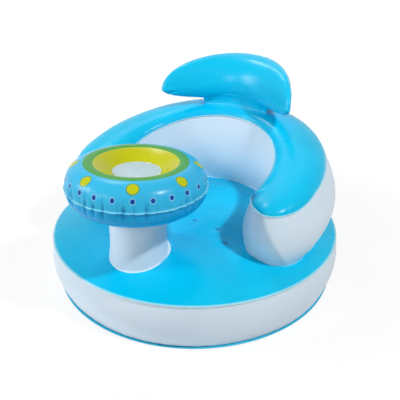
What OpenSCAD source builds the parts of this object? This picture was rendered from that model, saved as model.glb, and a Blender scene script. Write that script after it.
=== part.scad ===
// Inflatable floor seat for a baby: a round base cushion, a horseshoe back with arms, a crescent
// headrest and a round play tray on a post. Every chamber is made of welded vinyl sheets and has
// its own valve. Origin at the centre of the footprint on the floor, front (tray side) at -Y.

/* [Vinyl film] */
// Thickness of every sheet
film = 1; // [0.6:0.1:1.6]
// Width of the flat weld that stands out round the tray, headrest and back foot
weld_w = 4; // [2:0.5:6]
// Gap between pieces that lie on each other
rest_gap = 0.3; // [0.2:0.05:0.5]

/* [Base cushion] */
// Diameter over the swollen side wall
base_d = 580; // [560:5:640]
// Height of the top weld above the floor
base_h = 93; // [80:1:105]
// How far the side wall swells past its top weld
base_swell = 6; // [3:1:12]
// How much smaller the bottom weld's radius is than the top weld's
base_tuck = 7; // [4:1:12]
// Height of the bottom weld above the floor
bottom_lift = 4; // [2:0.5:8]
// Rise of the seat surface above the top weld, at its centre
seat_crown = 31; // [22:1:36]
// Width of each tie strip inside the base
tie_w = 24; // [16:1:32]
// Length of the tab at each end of a tie strip
tie_tab = 12; // [8:1:16]
// Sideways distance of the near pair of tie strips from the middle
near_tie_x = 30; // [24:1:36]
// How far the near pair lies in front of the middle
near_tie_y = 46; // [36:1:56]
// Sideways distance of the middle pair
middle_tie_x = 83; // [76:1:88]
// How far the middle pair lies in front of the middle
middle_tie_y = 51; // [40:1:60]
// Sideways distance of the far pair
far_tie_x = 119; // [114:1:126]
// How far the far pair lies in front of the middle
far_tie_y = 84; // [76:1:94]

/* [Back and arms] */
// Radius of the seat well at its top weld
well_r = 156; // [152:1:164]
// Width of the back and arms between their two top welds
arm_w = 94; // [86:1:98]
// How far the top weld of the arms reaches in front of the seat's centre
arm_reach = 102; // [96:1:110]
// Depth of the rounded front end of each arm
arm_round = 85; // [75:1:90]
// Depth of the part of that end that turns the inner corner, at the top weld
arm_corner = 45; // [35:1:50]
// Depth of the same part at the foot
foot_corner = 25; // [18:1:35]
// How far the top of each arm's front end stands ahead of its foot
arm_lean = 10; // [0:1:16]
// Distance in front of the seat's centre at which the top weld levels out
level_reach = 55; // [40:1:70]
// Height of the top weld at the front of the arms
arm_h = 207; // [190:1:220]
// Height of the top weld at the rear of the back
back_h = 272; // [255:1:300]
// Rise of the top sheet above its welds
top_crown = 21; // [14:1:28]
// Swell of the outer wall at the rear, where it is tallest
outer_swell = 30; // [20:1:34]
// Swell of the inner wall at the rear, where it is tallest
inner_swell = 18; // [8:1:22]
// Swell of the front ends of the arms
front_swell = 12; // [6:1:16]

/* [Headrest] */
// Half of the width between the two tips
head_half_w = 147; // [125:1:160]
// Height at the middle
head_h = 95; // [75:1:110]
// Thickness at the middle
head_t = 74; // [60:1:84]
// How far the tips curl forward
head_curl = 96; // [80:1:120]
// How far the tips stand above the root
head_rise = 24; // [20:1:36]
// Rounding of the lower edge towards the tips
tip_round = 19; // [10:1:20]
// Backward lean, in degrees from upright
head_lean = 15; // [5:1:18]
// Distance of the root from the seat's centre
head_y = 193; // [188:1:200]
// Height of the root above the top sheet
head_lift = 6; // [5:0.5:10]
// Width of the root tab
tab_w = 76; // [50:1:90]

/* [Post and tray] */
// Diameter of the post
post_d = 102; // [90:1:112]
// Distance of the post's axis from the base's rim, at its foot
post_inset = 104; // [98:1:110]
// Length of the post from its foot to the tray
post_h = 92; // [80:1:110]
// Backward lean of post and tray, in degrees
tray_lean = 3; // [0:1:8]
// Diameter of the tray at its weld
tray_d = 245; // [225:1:260]
// Depth of the tray below its weld
tray_under = 41; // [35:1:50]
// Height of the tray's rim above its weld
tray_over = 40.5; // [36:0.5:50]
// Diameter of the rim's crest
crest_d = 154; // [145:1:162]
// Depth of the dish below the crest
dish_depth = 19; // [10:1:24]
// Diameter of the disc in the dish
disc_d = 82; // [74:1:90]

/* [Valves] */
// Diameter of the moulded seat
seat_d = 26; // [24:1:30]
// Outer diameter of the stem
stem_d = 12.54; // [11:0.02:14]
// Inner diameter of the stem
stem_in_d = 9.6; // [8.6:0.1:10]
// Height of the stem above the sheet
stem_up = 11.6; // [10:0.1:14]
// Running clearance of stem and plug, on the radius
slide_gap = 0.08; // [0.05:0.01:0.1]
// Diameter of the plug's head
plug_d = 17.2; // [16:0.1:20]
// Length of the plug inside the stem
plug_in = 7.8; // [5:0.1:8]
// Diameter of the valve's hole in the sheet
hole_d = 18; // [17.4:0.1:19]

/* [Hidden] */
blue = "#13B4EA";
deep_blue = "#0A94C8";
white = "#DDE3EA";
pale_blue = "#BFE6F5";
clear = "#CFE9F2";
yellow = "#C9D00F";
round_fn = 96;

// ---- closed shells from rings of points ----

// Faces of a closed tube of `rings` rings with `n` points each, the last ring joined to the first
function loop_faces(rings, n) =
    [for (i = [0 : rings - 1], j = [0 : n - 1])
        let (a = i * n, b = ((i + 1) % rings) * n, k = (j + 1) % n)
        each [[a + j, a + k, b + k], [a + j, b + k, b + j]]];

// Faces between the rings `first` and `second` of `n` points
function strip_faces(first, second, n) =
    [for (j = [0 : n - 1])
        let (a = first * n, b = second * n, k = (j + 1) % n)
        each [[a + j, a + k, b + k], [a + j, b + k, b + j]]];
// Faces between consecutive rings, from ring `first` to ring `last`
function band_faces(first, last, n) = [for (i = [first : last - 1]) each strip_faces(i, i + 1, n)];
function flipped(faces) = [for (f = faces) [f[2], f[1], f[0]]];

// ---- base cushion ----

base_r = base_d / 2;
top_weld_r = base_r - base_swell;
bottom_weld_r = top_weld_r - base_tuck;
seat_power = 3;
seat_steps = 16;
// Odd, so that no edge of the wall runs through the middle of the valve's hole
wall_steps = 11;
// Outer surface of the seat at a distance r from the axis
function seat_z(r) = base_h + film + seat_crown * (1 - pow(min(r, top_weld_r) / top_weld_r, seat_power));
function seat_slope(r) =
    seat_crown * seat_power * pow(r / top_weld_r, seat_power - 1) / top_weld_r;
// Outer radius of the side wall at a share s of its height
function wall_r(s) =
    bottom_weld_r + base_tuck * s + (base_swell + base_tuck / 2) * sin(180 * s);

module base_bottom_sheet() {
    flat_r = bottom_weld_r - 3 * bottom_lift;
    color(deep_blue)
    rotate_extrude($fn = round_fn)
    polygon([[0, 0], [flat_r, 0], [bottom_weld_r, bottom_lift - film],
             [bottom_weld_r, bottom_lift], [bottom_weld_r - film, bottom_lift],
             [flat_r - film, film], [0, film]]);
}

module base_side_wall() {
    wall_h = base_h - bottom_lift;
    outer = [for (i = [0 : wall_steps]) [wall_r(i / wall_steps), bottom_lift + wall_h * i / wall_steps]];
    inner = [for (i = [wall_steps : -1 : 0]) outer[i] - [film, 0]];
    color(white)
    difference() {
        rotate_extrude($fn = round_fn) polygon(concat(outer, inner));
        on_base_wall() valve_hole();
    }
}

module base_top_sheet() {
    radii = [for (i = [0 : seat_steps]) (top_weld_r - film) * i / seat_steps];
    over = [for (r = radii) [r, seat_z(r * top_weld_r / (top_weld_r - film))]];
    under = [for (i = [seat_steps : -1 : 0]) over[i] - [0, film]];
    color(blue)
    rotate_extrude($fn = round_fn)
    polygon(concat(over, [[top_weld_r, base_h + film], [top_weld_r, base_h]], under));
}

// Places of the tie strips that pull the seat flat; their welds show as small dimples
tie_pairs = [[near_tie_x, near_tie_y], [middle_tie_x, middle_tie_y], [far_tie_x, far_tie_y]];
tie_spots = [for (side = [-1, 1], pair = tie_pairs) [side * pair.x, -pair.y]];
module base_tie_strips() {
    color(white)
    for (spot = tie_spots) {
        roof = seat_z(norm(spot) + tie_tab) - film - rest_gap;
        translate([spot.x, spot.y, 0]) {
            translate([-tie_w / 2, -film / 2, film]) cube([tie_w, film, roof - film]);
            translate([-tie_w / 2, -tie_tab / 2, film]) cube([tie_w, tie_tab, film]);
            translate([-tie_w / 2, -tie_tab / 2, roof - film]) cube([tie_w, tie_tab, film]);
        }
    }
}

// ---- back and arms ----

spine_r = well_r + arm_w / 2;
outer_r = well_r + arm_w;
leg = arm_reach - arm_round;
leg_steps = 1;
arc_steps = 22;
cap_steps = 9;
side_steps = arc_steps + 2 * leg_steps;
// Powers of sine and cosine that shape the end's outer half and the inner corner at top and foot
outer_power = 1;
corner_power = 1.3;
foot_power = 0.8;
// Power at which the swell of the arm's sides dies away round the corner of its front end
corner_fade = 4;
wall_rings = 6;
dome_rings = 6;
// Length over which the top weld's slope dies away towards the front
level_blend = 40;
function level_rise(y) = (y + level_reach + norm([y + level_reach, level_blend])) / 2;
top_slope = (back_h - arm_h) / level_rise(spine_r);
// Height of both top welds at a distance y behind the seat's centre
function weld_z(y) = arm_h + top_slope * level_rise(y);
function signed_pow(v, p) = sign(v) * pow(abs(v), p);

// Spine of the horseshoe, from the front of the right arm round the back to the left arm
function spine(i) =
    i < leg_steps ? [spine_r, -leg * (1 - i / leg_steps)] :
    i > leg_steps + arc_steps ? [-spine_r, -leg * (i - leg_steps - arc_steps) / leg_steps] :
    spine_r * [cos(180 * (i - leg_steps) / arc_steps), sin(180 * (i - leg_steps) / arc_steps)];
function spine_out(i) =
    i < leg_steps ? [1, 0] :
    i > leg_steps + arc_steps ? [-1, 0] :
    [cos(180 * (i - leg_steps) / arc_steps), sin(180 * (i - leg_steps) / arc_steps)];

// One station of the closed outline: [centre on the spine, from there to the top weld, from there to
// the foot, way outwards, swell at full height, how far the top weld lies in front of the centre]
function side_station(i, way, swell) =
    let (out = way * spine_out(i)) [spine(i), out * arm_w / 2, out * arm_w / 2, out, swell, 0];
function cap_vector(i, turn, depth, corner, power) =
    let (outer = cos(turn) > 0, p = outer ? outer_power : power, ahead = pow(sin(turn), p))
    spine_out(i) * signed_pow(cos(turn), p) * arm_w / 2
    - [0, outer ? depth * ahead : depth - corner * (1 - ahead)];
function cap_station(i, turn) =
    let (top = cap_vector(i, turn, arm_round, arm_corner, corner_power),
         foot = cap_vector(i, turn, arm_round - arm_lean, foot_corner, foot_power),
         side_swell = cos(turn) > 0 ? outer_swell : inner_swell)
    [spine(i), top, foot, spine_out(i) * cos(turn) - [0, sin(turn)],
     front_swell + (side_swell - front_swell) * pow(cos(turn), corner_fade), -top.y];
outline = concat(
    [for (i = [0 : side_steps]) side_station(i, 1, outer_swell)],
    [for (k = [1 : cap_steps]) cap_station(side_steps, 180 * k / cap_steps)],
    [for (i = [side_steps : -1 : 0]) side_station(i, -1, inner_swell)],
    [for (k = [cap_steps : -1 : 1]) cap_station(0, 180 * k / cap_steps)]);
count = len(outline);

// Height of the weld at a station, with the outline shrunk to a share of its width
function station_z(st, share = 1) = weld_z(st[0].y - st[5] * share);
tallest = back_h - seat_z(outer_r);
// Point of the wall: `off` outside the weld line, at a share s of the height, lifted by `lift`
function wall_point(st, off, s, lift) =
    let (low = seat_z(norm(st[0] + st[2] + st[3] * off)) + rest_gap,
         high = station_z(st),
         swell = st[4] * (high - low) / tallest * sin(180 * s),
         q = st[0] + st[2] * (1 - s) + st[1] * s + st[3] * (off + swell))
    [q.x, q.y, low + (high - low) * s + lift];
wall_profile = concat(
    [[weld_w, 0, 0], [weld_w, 0, film], [0, 0, film]],
    [for (k = [1 : wall_rings]) [0, k / wall_rings, 0]],
    [for (k = [wall_rings : -1 : 0]) [-film, k / wall_rings, 0]]);

module back_wall_band() {
    points = [for (st = outline, p = wall_profile) wall_point(st, p[0], p[1], p[2])];
    color(white)
    difference() {
        polyhedron(points, loop_faces(count, len(wall_profile)));
        on_back_wall() valve_hole();
    }
}

// Share of the crown at a share of the half width: 0 at the weld and 1 on the spine
function dome(share) = sqrt(max(0, 1 - share * share));
dome_shares = [for (k = [1 : dome_rings]) cos(84 * k / dome_rings)];
function top_point(st, share, off, lift) =
    let (q = st[0] + st[1] * share + st[3] * off) [q.x, q.y, station_z(st, share) + lift];
function dome_ring_set(lift) =
    [for (share = dome_shares) [for (st = outline) top_point(st, share, -film, top_crown * dome(share) + lift)]];
top_outside = concat([[for (st = outline) top_point(st, 1, 0, 0)], [for (st = outline) top_point(st, 1, 0, film)]],
                     dome_ring_set(film));
top_inside = concat([[for (st = outline) top_point(st, 1, -film, 0)]], dome_ring_set(0));

// Faces that close a ring along the spine: outer stations are paired with inner ones
function mate(i) = 2 * side_steps + cap_steps + 1 - i;
function spine_faces(start) = concat(
    [for (i = [0 : side_steps - 1])
        each [[start + i, start + i + 1, start + mate(i + 1)], [start + i, start + mate(i + 1), start + mate(i)]]],
    [for (k = [1 : cap_steps])
        [start + side_steps, start + side_steps + k, start + side_steps + k + 1]],
    [for (k = [1 : cap_steps])
        [start, start + mate(0) + k - 1, start + (mate(0) + k) % count]]);

module back_top_sheet() {
    outer_last = len(top_outside) - 1;
    inner_first = outer_last + 1;
    inner_last = inner_first + len(top_inside) - 1;
    color(blue)
    polyhedron([for (ring = concat(top_outside, top_inside)) each ring],
               flipped(concat(flipped(band_faces(0, outer_last, count)),
                              band_faces(inner_first, inner_last, count),
                              strip_faces(0, inner_first, count),
                              flipped(spine_faces(outer_last * count)),
                              spine_faces(inner_last * count))));
}

// Height of the top sheet's outer surface at a point over the curved back
function back_top_z(x, y) =
    let (r = norm([x, y]))
    weld_z(spine_r * y / r) + film + top_crown * dome(min(1, abs(r - spine_r) / (arm_w / 2 - film)));

// ---- headrest ----

head_root_z = back_top_z(0, head_y) + head_lift;
lean_share = tan(head_lean);
head_sides = 44;
head_power = 2.05;
tip_power = 8;
head_shares = [0.97, 0.88, 0.72, 0.5, 0.26];
// Height of the pillow's lower and upper edge over the root, at a share u of the half width
function head_low(u) =
    (head_rise - tip_round) * u * u + tip_round * (1 - sqrt(1 - pow(abs(u), tip_power)));
function head_high(u) = head_rise * u * u + head_h * sqrt(1 - pow(abs(u), head_power));
function head_edge(turn) = let (u = cos(turn)) [u, turn < 180 ? head_high(u) : head_low(u)];
head_mid = [0, head_h / 2];
// Point on the pillow's middle surface, moved by `off` to the rear
function head_point(q, off) =
    [head_half_w * q.x, head_y - head_curl * q.x * q.x + lean_share * q.y + off, head_root_z + q.y];
function head_ring(share, off) =
    [for (j = [0 : head_sides - 1])
        head_point(head_mid + share * (head_edge(360 * (j + 0.5) / head_sides) - head_mid), off)];
weld_share = 1 + weld_w / head_half_w;
function half_t(share) = (head_t / 2 - film) * sqrt(1 - share * share);

// One sheet of the pillow: side is -1 for the front and 1 for the rear
module head_sheet(side) {
    outside = concat([head_ring(weld_share, side * film), head_ring(1, side * film)],
                     [for (s = head_shares) head_ring(s, side * (half_t(s) + film))]);
    inside = concat([head_ring(weld_share, 0), head_ring(1, 0)],
                    [for (s = head_shares) head_ring(s, side * half_t(s))]);
    rings = concat([for (i = [len(outside) - 1 : -1 : 0]) outside[i]], inside);
    last = len(rings) - 1;
    poles = [head_point(head_mid, side * (head_t / 2)), head_point(head_mid, side * (head_t / 2 - film))];
    total = len(rings) * head_sides;
    points = concat([for (ring = rings) each ring], poles);
    caps = concat(
        [for (j = [0 : head_sides - 1]) [total, (j + 1) % head_sides, j]],
        [for (j = [0 : head_sides - 1])
            [total + 1, last * head_sides + j, last * head_sides + (j + 1) % head_sides]]);
    faces = concat(band_faces(0, last, head_sides), caps);
    polyhedron(points, side > 0 ? flipped(faces) : faces);
}

module headrest_front_sheet() {
    color(blue) head_sheet(-1);
}

module headrest_rear_sheet() {
    color(blue)
    difference() {
        head_sheet(1);
        on_headrest() valve_hole();
    }
}

// Welded strip between the top of the back and the headrest: the pillow bends along it
tab_steps = 8;
tab_clear = 0.5;
tab_fall = 0.3;
weld_drop = (weld_share - 1) * head_h / 2;
module headrest_root_tab() {
    xs = [for (i = [0 : tab_steps]) tab_w * (i / tab_steps - 0.5)];
    function tab_section(x) =
        let (u = x / head_half_w,
             y = head_y - head_curl * u * u,
             low = max(back_top_z(x, y - film), back_top_z(x, y + film)) + rest_gap,
             high = head_root_z + head_low(u) - weld_drop - tab_clear - tab_fall * (head_y - y))
        [[x, y - film, low], [x, y + film, low], [x, y + film, high], [x, y - film, high]];
    points = [for (x = xs) each tab_section(x)];
    last = 4 * tab_steps;
    color(pale_blue)
    polyhedron(points, concat(flipped(band_faces(0, tab_steps, 4)),
                              [[0, 1, 2], [0, 2, 3], [last, last + 2, last + 1], [last, last + 3, last + 2]]));
}

// ---- post and tray ----

post_r = post_d / 2;
tray_r = tray_d / 2;
crest_r = crest_d / 2;
disc_r = disc_d / 2;
weld_up = post_h + tray_under;
crest_up = weld_up + tray_over;
dish_up = crest_up - dish_depth;
post_y = base_r - post_inset;
foot_slope = atan(seat_slope(post_y));
// The foot's plane follows the seat's slope, lowered until its rim rests at both sides
foot_drop = seat_z(post_y) - seat_z(norm([post_y, post_r]));
foot_z = seat_z(post_y) - foot_drop + rest_gap;
tray_steps = 12;
under_power = 0.8;
over_power = 0.85;
dish_power = 1.4;

// Frame of the post: origin at the middle of its foot, +Z along the post
module on_post() {
    translate([0, -post_y, foot_z]) rotate([-tray_lean, 0, 0]) children();
}
// Block under or over the foot's plane, from `low` to `high`, in the frame of the post
module foot_block(low, high) {
    rotate([foot_slope + tray_lean, 0, 0])
    translate([-post_d, -post_d, low]) cube([2 * post_d, 2 * post_d, high - low]);
}

module post_wall() {
    throat = dish_up - film;
    color(white)
    on_post()
    difference() {
        rotate_extrude($fn = round_fn)
        polygon([[post_r - film, -post_d / 2], [post_r, -post_d / 2], [post_r, post_h],
                 [disc_r, throat], [disc_r - film, throat], [post_r - film, post_h]]);
        foot_block(-post_d, 0);
    }
}

module post_foot_weld() {
    color(white)
    on_post()
    intersection() {
        rotate_extrude($fn = round_fn)
        translate([post_r + slide_gap, -post_d / 2]) square([weld_w + film, post_d]);
        foot_block(0, film);
    }
}

under_reach = tray_r - weld_w - post_r - rest_gap;
function under_point(turn, inset = 0) =
    [post_r + rest_gap + under_reach * pow(sin(turn), under_power) - inset * sin(turn),
     weld_up - film - (tray_under - film) * pow(cos(turn), under_power) + inset * cos(turn)];

module tray_bottom_sheet() {
    outer = [for (i = [0 : tray_steps]) under_point(90 * i / tray_steps)];
    inner = [for (i = [tray_steps - 1 : -1 : 0]) under_point(90 * i / tray_steps, film)];
    color(deep_blue)
    on_post()
    difference() {
        rotate_extrude($fn = round_fn)
        polygon(concat(outer, [[tray_r, weld_up - film], [tray_r, weld_up],
                               [tray_r - weld_w - film, weld_up]], inner));
        on_tray_under() valve_hole();
    }
}

function over_point(turn) =
    [crest_r + (tray_r - weld_w - crest_r) * pow(cos(turn), over_power),
     weld_up + film + (tray_over - film) * pow(sin(turn), over_power)];
function dish_point(s) = [crest_r - (crest_r - disc_r - film) * s, crest_up - (dish_depth - film) * pow(s, dish_power)];

// The printed top sheet from its weld to the crest; the dish carries on from there
module tray_top_sheet() {
    outer = [for (i = [0 : tray_steps]) over_point(90 * i / tray_steps)];
    inner = [for (i = [tray_steps : -1 : 1]) outer[i] - [i < tray_steps / 2 ? film : 0, film]];
    color(blue)
    on_post()
    rotate_extrude($fn = round_fn)
    polygon(concat([[tray_r, weld_up], [tray_r, weld_up + film]], outer, inner,
                   [[tray_r - weld_w - film, weld_up]]));
}

module tray_dish_sheet() {
    outer = [for (i = [0 : tray_steps / 2]) dish_point(2 * i / tray_steps)];
    inner = [for (i = [len(outer) - 1 : -1 : 0]) outer[i] - [0, film]];
    color(yellow)
    on_post()
    rotate_extrude($fn = round_fn)
    polygon(concat(outer, [[disc_r - weld_w, dish_up + film], [disc_r - weld_w, dish_up]], inner));
}

module tray_disc() {
    color(white)
    on_post()
    translate([0, 0, dish_up - film]) cylinder(r = disc_r, h = film, $fn = round_fn);
}

// ---- valves ----

collar_gap = 0.6;
collar_r = hole_d / 2 - collar_gap;
collar_in = 4;
collar_up = 2.6;
seat_t = 1.2;
seat_lift = 0.25;
edge = 0.5;
stem_r = stem_d / 2;
bore_r = stem_in_d / 2;
lip_w = 1.33;
lip_h = 1.2;
foot_w = 1.1;
foot_h = 1;
foot_gap = 1;
ledge_w = 1.4;
ledge_h = 1;
ledge_low = -3.4;
flap_gap = 0.5;
flap_r = bore_r - flap_gap;
flap_t = 0.6;
head_thick = 1.6;
strap_w = 4;
strap_t = 0.9;
strap_r = 1.9;
strap_bite = 0.3;

// Every valve is drawn with +Z out of its chamber and its sheet's outer surface at z = 0.
// `sag` is how far the curved sheet falls away at the edge of the hole.
function sag(radius) = radius - sqrt(radius * radius - hole_d * hole_d / 4);
base_valve_z = (base_h + bottom_lift) / 2;
module on_base_wall() {
    translate([0, base_r, base_valve_z]) rotate([-90, 0, 0]) children();
}
back_valve_z = (seat_z(outer_r) + rest_gap + back_h) / 2;
module on_back_wall() {
    translate([0, outer_r + outer_swell, back_valve_z]) rotate([-90, 0, 0]) children();
}
module on_headrest() {
    translate(head_point(head_mid, head_t / 2)) rotate([-90 - head_lean, 0, 0]) children();
}
valve_turn = 30;
turn_step = 5;
tray_valve_at = under_point(valve_turn);
valve_chord = under_point(valve_turn + turn_step) - under_point(valve_turn - turn_step);
tray_valve_tilt = atan2(valve_chord.y, valve_chord.x);
module on_tray_under() {
    translate([0, tray_valve_at.x, tray_valve_at.y]) rotate([tray_valve_tilt + 180, 0, 0]) children();
}

module valve_hole() {
    translate([0, 0, -hole_d / 2]) cylinder(d = hole_d, h = hole_d, $fn = 48);
}

module valve_seat(sink) {
    color(pale_blue)
    translate([0, 0, seat_lift - sink])
    rotate_extrude($fn = 48)
    polygon([[stem_r + slide_gap, -collar_in], [collar_r, -collar_in], [collar_r, 0], [seat_d / 2, 0],
             [seat_d / 2, seat_t - edge], [seat_d / 2 - edge, seat_t], [collar_r, seat_t],
             [collar_r - edge, collar_up], [stem_r + slide_gap, collar_up]]);
}

module valve_stem() {
    low = -collar_in - foot_gap - foot_h;
    color(clear)
    rotate_extrude($fn = 48)
    polygon([[bore_r, low], [stem_r + foot_w, low], [stem_r + foot_w, low + foot_h],
             [stem_r, low + foot_h], [stem_r, stem_up - lip_h], [stem_r + lip_w, stem_up - lip_h],
             [stem_r + lip_w, stem_up], [bore_r, stem_up], [bore_r, ledge_low + ledge_h],
             [bore_r - ledge_w, ledge_low + ledge_h], [bore_r - ledge_w, ledge_low],
             [bore_r, ledge_low]]);
}

module valve_flap() {
    color(clear)
    translate([0, 0, ledge_low - rest_gap - flap_t]) cylinder(r = flap_r, h = flap_t, $fn = 48);
}

module valve_plug() {
    under = stem_up + rest_gap;
    tip = stem_up - plug_in;
    pin_r = bore_r - slide_gap;
    color(pale_blue) {
        rotate_extrude($fn = 48)
        polygon([[0, tip], [pin_r - edge, tip], [pin_r, tip + 2 * edge], [pin_r, under],
                 [plug_d / 2, under], [plug_d / 2, under + head_thick - edge],
                 [plug_d / 2 - edge, under + head_thick], [0, under + head_thick]]);
        translate([plug_d / 2 - strap_bite, strap_w / 2, under + head_thick / 2 - strap_r])
        rotate([90, 0, 0])
        linear_extrude(strap_w)
        difference() {
            circle(r = strap_r + strap_t / 2, $fn = 32);
            circle(r = strap_r - strap_t / 2, $fn = 32);
            translate([-3 * strap_r, -2 * strap_r]) square([3 * strap_r, 4 * strap_r]);
        }
    }
}

// Radii to which the sheets bend where a valve sits
back_wall_bend = 105;
head_bend = head_h * head_h / (2 * head_t);
module base_valve_seat() { on_base_wall() valve_seat(sag(base_r)); }
module base_valve_stem() { on_base_wall() valve_stem(); }
module base_valve_flap() { on_base_wall() valve_flap(); }
module base_valve_plug() { on_base_wall() valve_plug(); }
module back_valve_seat() { on_back_wall() valve_seat(sag(back_wall_bend)); }
module back_valve_stem() { on_back_wall() valve_stem(); }
module back_valve_flap() { on_back_wall() valve_flap(); }
module back_valve_plug() { on_back_wall() valve_plug(); }
module headrest_valve_seat() { on_headrest() valve_seat(sag(head_bend)); }
module headrest_valve_stem() { on_headrest() valve_stem(); }
module headrest_valve_flap() { on_headrest() valve_flap(); }
module headrest_valve_plug() { on_headrest() valve_plug(); }
module tray_valve_seat() { on_post() on_tray_under() valve_seat(sag(tray_r)); }
module tray_valve_stem() { on_post() on_tray_under() valve_stem(); }
module tray_valve_flap() { on_post() on_tray_under() valve_flap(); }
module tray_valve_plug() { on_post() on_tray_under() valve_plug(); }

base_bottom_sheet();
base_side_wall();
base_top_sheet();
base_tie_strips();
back_wall_band();
back_top_sheet();
headrest_root_tab();
headrest_front_sheet();
headrest_rear_sheet();
post_wall();
post_foot_weld();
tray_bottom_sheet();
tray_top_sheet();
tray_dish_sheet();
tray_disc();
base_valve_seat();
base_valve_stem();
base_valve_flap();
base_valve_plug();
back_valve_seat();
back_valve_stem();
back_valve_flap();
back_valve_plug();
headrest_valve_seat();
headrest_valve_stem();
headrest_valve_flap();
headrest_valve_plug();
tray_valve_seat();
tray_valve_stem();
tray_valve_flap();
tray_valve_plug();
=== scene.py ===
# %% [markdown]
# # An inflatable baby floor seat
# The seat is four air chambers of thin PVC film: a round base, a horseshoe of back and arms, a
# headrest pillow and a play tray on a post. Each chamber is cut from flat film and welded at its
# edges, so nearly everything the eye sees is a smooth swollen sheet that ends in a thin weld.
# We start by loading the fixed frame. It holds every part at its real size, in metres.

# %% Load the frame
from math import cos, pi, radians, sin, sqrt, tan

import bmesh
import bpy
import numpy as np
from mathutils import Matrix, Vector


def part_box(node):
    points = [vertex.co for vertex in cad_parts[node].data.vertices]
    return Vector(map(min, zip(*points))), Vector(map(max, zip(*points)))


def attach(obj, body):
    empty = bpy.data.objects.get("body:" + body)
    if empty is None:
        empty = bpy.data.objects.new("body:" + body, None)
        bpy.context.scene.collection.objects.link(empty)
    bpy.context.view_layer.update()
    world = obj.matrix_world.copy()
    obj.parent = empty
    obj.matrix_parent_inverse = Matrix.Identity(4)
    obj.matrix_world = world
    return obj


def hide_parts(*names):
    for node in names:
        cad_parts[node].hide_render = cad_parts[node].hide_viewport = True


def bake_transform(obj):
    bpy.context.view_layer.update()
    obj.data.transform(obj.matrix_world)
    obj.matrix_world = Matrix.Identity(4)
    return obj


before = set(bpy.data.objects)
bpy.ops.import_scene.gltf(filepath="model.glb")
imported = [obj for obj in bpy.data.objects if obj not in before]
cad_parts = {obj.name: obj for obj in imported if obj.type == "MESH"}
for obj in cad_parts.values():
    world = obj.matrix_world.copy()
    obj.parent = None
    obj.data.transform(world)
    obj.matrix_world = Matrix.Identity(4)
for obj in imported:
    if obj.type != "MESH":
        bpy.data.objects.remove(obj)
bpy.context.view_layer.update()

MM = 0.001
print("nodes", len(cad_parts))

# %% [markdown]
# ## Camera
# The photograph was taken from the front right and from a little above. The camera aims at one
# point inside the seat, so we only need a turn, a rise and a distance. The lens comes from the
# focal length that was fitted in pixels of a 400 pixel wide picture.

# %% Camera
CAMERA_TURN = 32.2        # degrees from the front, -y, towards +x
CAMERA_RISE = 27.15       # degrees above the floor
CAMERA_DISTANCE = 1.017   # metres
CAMERA_TARGET = Vector((0.0200, -0.0122, 0.1494))
FOCAL_PX = 509.1
PICTURE_PX = 400
SENSOR_MM = 36.0


def direction(turn, rise):
    """Unit vector from the seat towards a place seen at a turn and a rise, in degrees."""
    a, e = radians(turn), radians(rise)
    return Vector((sin(a) * cos(e), -cos(a) * cos(e), sin(e)))


camera = bpy.data.objects.new("camera", bpy.data.cameras.new("camera"))
bpy.context.scene.collection.objects.link(camera)
camera.location = CAMERA_TARGET + CAMERA_DISTANCE * direction(CAMERA_TURN, CAMERA_RISE)
camera.rotation_euler = (CAMERA_TARGET - camera.location).to_track_quat("-Z", "Y").to_euler()
camera.data.sensor_width = SENSOR_MM
camera.data.lens = SENSOR_MM * FOCAL_PX / PICTURE_PX
bpy.context.scene.camera = camera
print("camera at", [round(v, 3) for v in camera.location], "lens", round(camera.data.lens, 2))

# %% [markdown]
# ## Node helper and colour helper
# Colours are written as sRGB hex, the way a paint chart or a web page gives them. The shader wants
# linear light, so one function converts them. One more function adds a shader node with its
# settings and its links, and every material below is built with it.

# %% Colours and shader nodes
def linear(hex_colour):
    """Linear RGBA of an sRGB hex colour."""
    parts = [int(hex_colour[i:i + 2], 16) / 255 for i in (1, 3, 5)]
    return tuple(c / 12.92 if c <= 0.04045 else ((c + 0.055) / 1.055) ** 2.4 for c in parts) + (1.0,)


def add(tree, kind, inputs=None, **settings):
    """Adds a node. Inputs are values, or sockets of other nodes that are linked in."""
    node = tree.nodes.new(kind)
    for name, value in settings.items():
        setattr(node, name, value)
    for name, value in (inputs or {}).items():
        socket = node.inputs[name]
        if isinstance(value, bpy.types.NodeSocket):
            tree.links.new(value, socket)
        else:
            socket.default_value = value
    return node


def make_material(name, build, *settings):
    """Material whose surface is the shader node that `build` makes in its node tree."""
    material = bpy.data.materials.new(name)
    material.use_nodes = True
    material.node_tree.nodes.clear()
    surface = build(material.node_tree, *settings)
    add(material.node_tree, "ShaderNodeOutputMaterial", {"Surface": surface.outputs[0]})
    return material


print("sky blue in linear light", [round(v, 3) for v in linear("#19B4EC")])

# %% [markdown]
# ## Calendered PVC film
# The film is soft PVC that was squeezed to a third of a millimetre between polished rollers, which
# is called calendering. The rollers leave a satin gloss: highlights are clear but soft at the edge.
# Stretched over air, the film also has very shallow dents, and they make the highlights wander.
# At a weld two films are melted together by high frequency current. The band is thinner and
# paler. A sharp fold or dent would lie in shade, and that shade is painted into the colour as a
# darker tone. So two mesh attributes say where the colour turns: the weld mark is 1 on the band,
# the painted fold shade is 1 in the fold, and both are 0 elsewhere.

# %% Film material
PVC_IOR = 1.53
PVC_GLOSS = 0.18          # under the usual 0.5, because the satin finish scatters part of the gloss
GRAIN_MM = 2.2            # the real grain is far finer; this is the finest that shows here
GRAIN_DEEP = 0.3          # height that its bump stands for, in millimetres
DENT_MM = 45.0            # usual distance between the shallow dents of stretched film
DENT_DEEP = 2.0
CLOUD_MM = 160.0          # slow change of tone where the film is stretched thinner
GLOSS_DRIFT = 0.04        # how far the roughness wanders either way
MIX_SHARE, MIX_UNDER, MIX_OVER, MIXED = 0, 6, 7, 2    # sockets of a mix node that mixes colours


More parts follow.
